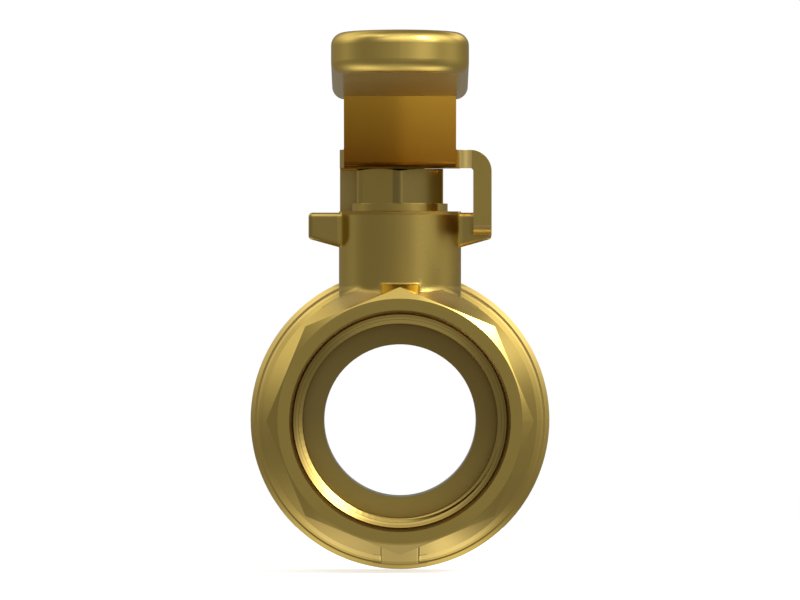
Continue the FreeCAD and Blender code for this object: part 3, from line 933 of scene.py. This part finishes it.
# %% Card
CARD_GLOW = 1.0
CARD_HALF = 9.0 * MM
STRIP_THICKNESS = 3.0 * MM
STRIP_TILT = math.radians(2.7)
CARD_GAP = 0.3 * MM


def card_finish(name):
    """Lit on the front of the face, clear on its back."""
    material, graph = start_finish(name)
    lit = graph.node("ShaderNodeEmission", None, {"Strength": CARD_GLOW})
    clear = graph.node("ShaderNodeBsdfTransparent")
    back = graph.node("ShaderNodeNewGeometry", None, None, "Backfacing")
    mixed = graph.node("ShaderNodeMixShader", None, {0: back, 1: lit, 2: clear})
    graph.node("ShaderNodeOutputMaterial", None, {0: mixed})
    return material


lever_low, lever_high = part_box("lever")
card_front = lever_high.z - STRIP_THICKNESS - CARD_GAP
card_back = card_front - (body_front - lever_low.y) * math.tan(STRIP_TILT)
card = flat_sheet("card", [
    (-CARD_HALF, lever_low.y, card_front), (-CARD_HALF, body_front, card_back),
    (CARD_HALF, body_front, card_back), (CARD_HALF, lever_low.y, card_front),
], card_finish("card_paper"))
card.visible_camera = False
card.visible_diffuse = False
card.visible_shadow = False
print("card faces down:", card.data.polygons[0].normal.z < 0.0)

# %% [markdown]
# ## The floor
#
# A pale floor catches a soft shadow in the raised views. Seen level, as in
# the photograph, it is only a line, and it glows a little so that it melts
# into the white behind. It lies a hair below the valve, and reflections leave
# it out, because the table in the world's light already stands for it.

# %% Floor
FLOOR_HALF = 0.8
FLOOR_GAP = 0.2 * MM
FLOOR_GLOW = 0.62
FLOOR_GREY = (0.88, 0.88, 0.88, 1.0)
FLOOR_WHITE = (0.92, 0.92, 0.92, 1.0)


def floor_finish(name):
    """Matt paper with a faint drift in its white."""
    material, graph = start_finish(name)
    place = graph.node("ShaderNodeTexCoord", None, None, "Object")
    drift = graph.node("ShaderNodeTexNoise", None, {"Vector": place, "Scale": 6.0})
    shader = graph.node("ShaderNodeBsdfPrincipled", None, {
        "Base Color": graph.mix_colour(drift, FLOOR_GREY, FLOOR_WHITE),
        "Roughness": 0.9,
        "Emission Color": WHITE,
        "Emission Strength": FLOOR_GLOW,
    })
    graph.node("ShaderNodeOutputMaterial", None, {0: shader})
    return material


level = cad_box[0].z - FLOOR_GAP
floor = flat_sheet("floor", [
    (-FLOOR_HALF, -FLOOR_HALF, level), (FLOOR_HALF, -FLOOR_HALF, level),
    (FLOOR_HALF, FLOOR_HALF, level), (-FLOOR_HALF, FLOOR_HALF, level),
], floor_finish("floor_paper"))
floor.visible_glossy = False
print("floor at", round(level / MM, 2), "mm")

# %% [markdown]
# ## The camera
#
# The photograph is taken level, straight down the pipe, from so far off that
# parallel edges stay parallel. A very long lens does the same. Its distance
# follows from the scale: so many pixels to the millimetre at the front face.

# %% Camera
PICTURE_WIDTH = 800
PICTURE_HEIGHT = 600
PIXELS_PER_MM = 6.13
PIPE_AXIS_ROW = 421.2
LENS = 1150.0
SENSOR = 36.0
NEAREST = 0.5
FARTHEST = 20.0


def build_camera():
    """Place the camera, and give its distance from the front face."""
    data = bpy.data.cameras.new("camera")
    data.lens = LENS
    data.sensor_width = SENSOR
    data.clip_start = NEAREST
    data.clip_end = FARTHEST
    camera = bpy.data.objects.new("camera", data)
    bpy.context.scene.collection.objects.link(camera)
    distance = PICTURE_WIDTH / PIXELS_PER_MM * MM * LENS / SENSOR
    height = (PIPE_AXIS_ROW - PICTURE_HEIGHT / 2) / PIXELS_PER_MM * MM
    camera.location = (0.0, body_front - distance, height)
    camera.rotation_euler = (math.radians(90.0), 0.0, 0.0)
    bpy.context.scene.camera = camera
    return distance


print("camera stands", round(build_camera(), 2), "m from the front face")
bpy.context.scene.view_settings.view_transform = "Standard"
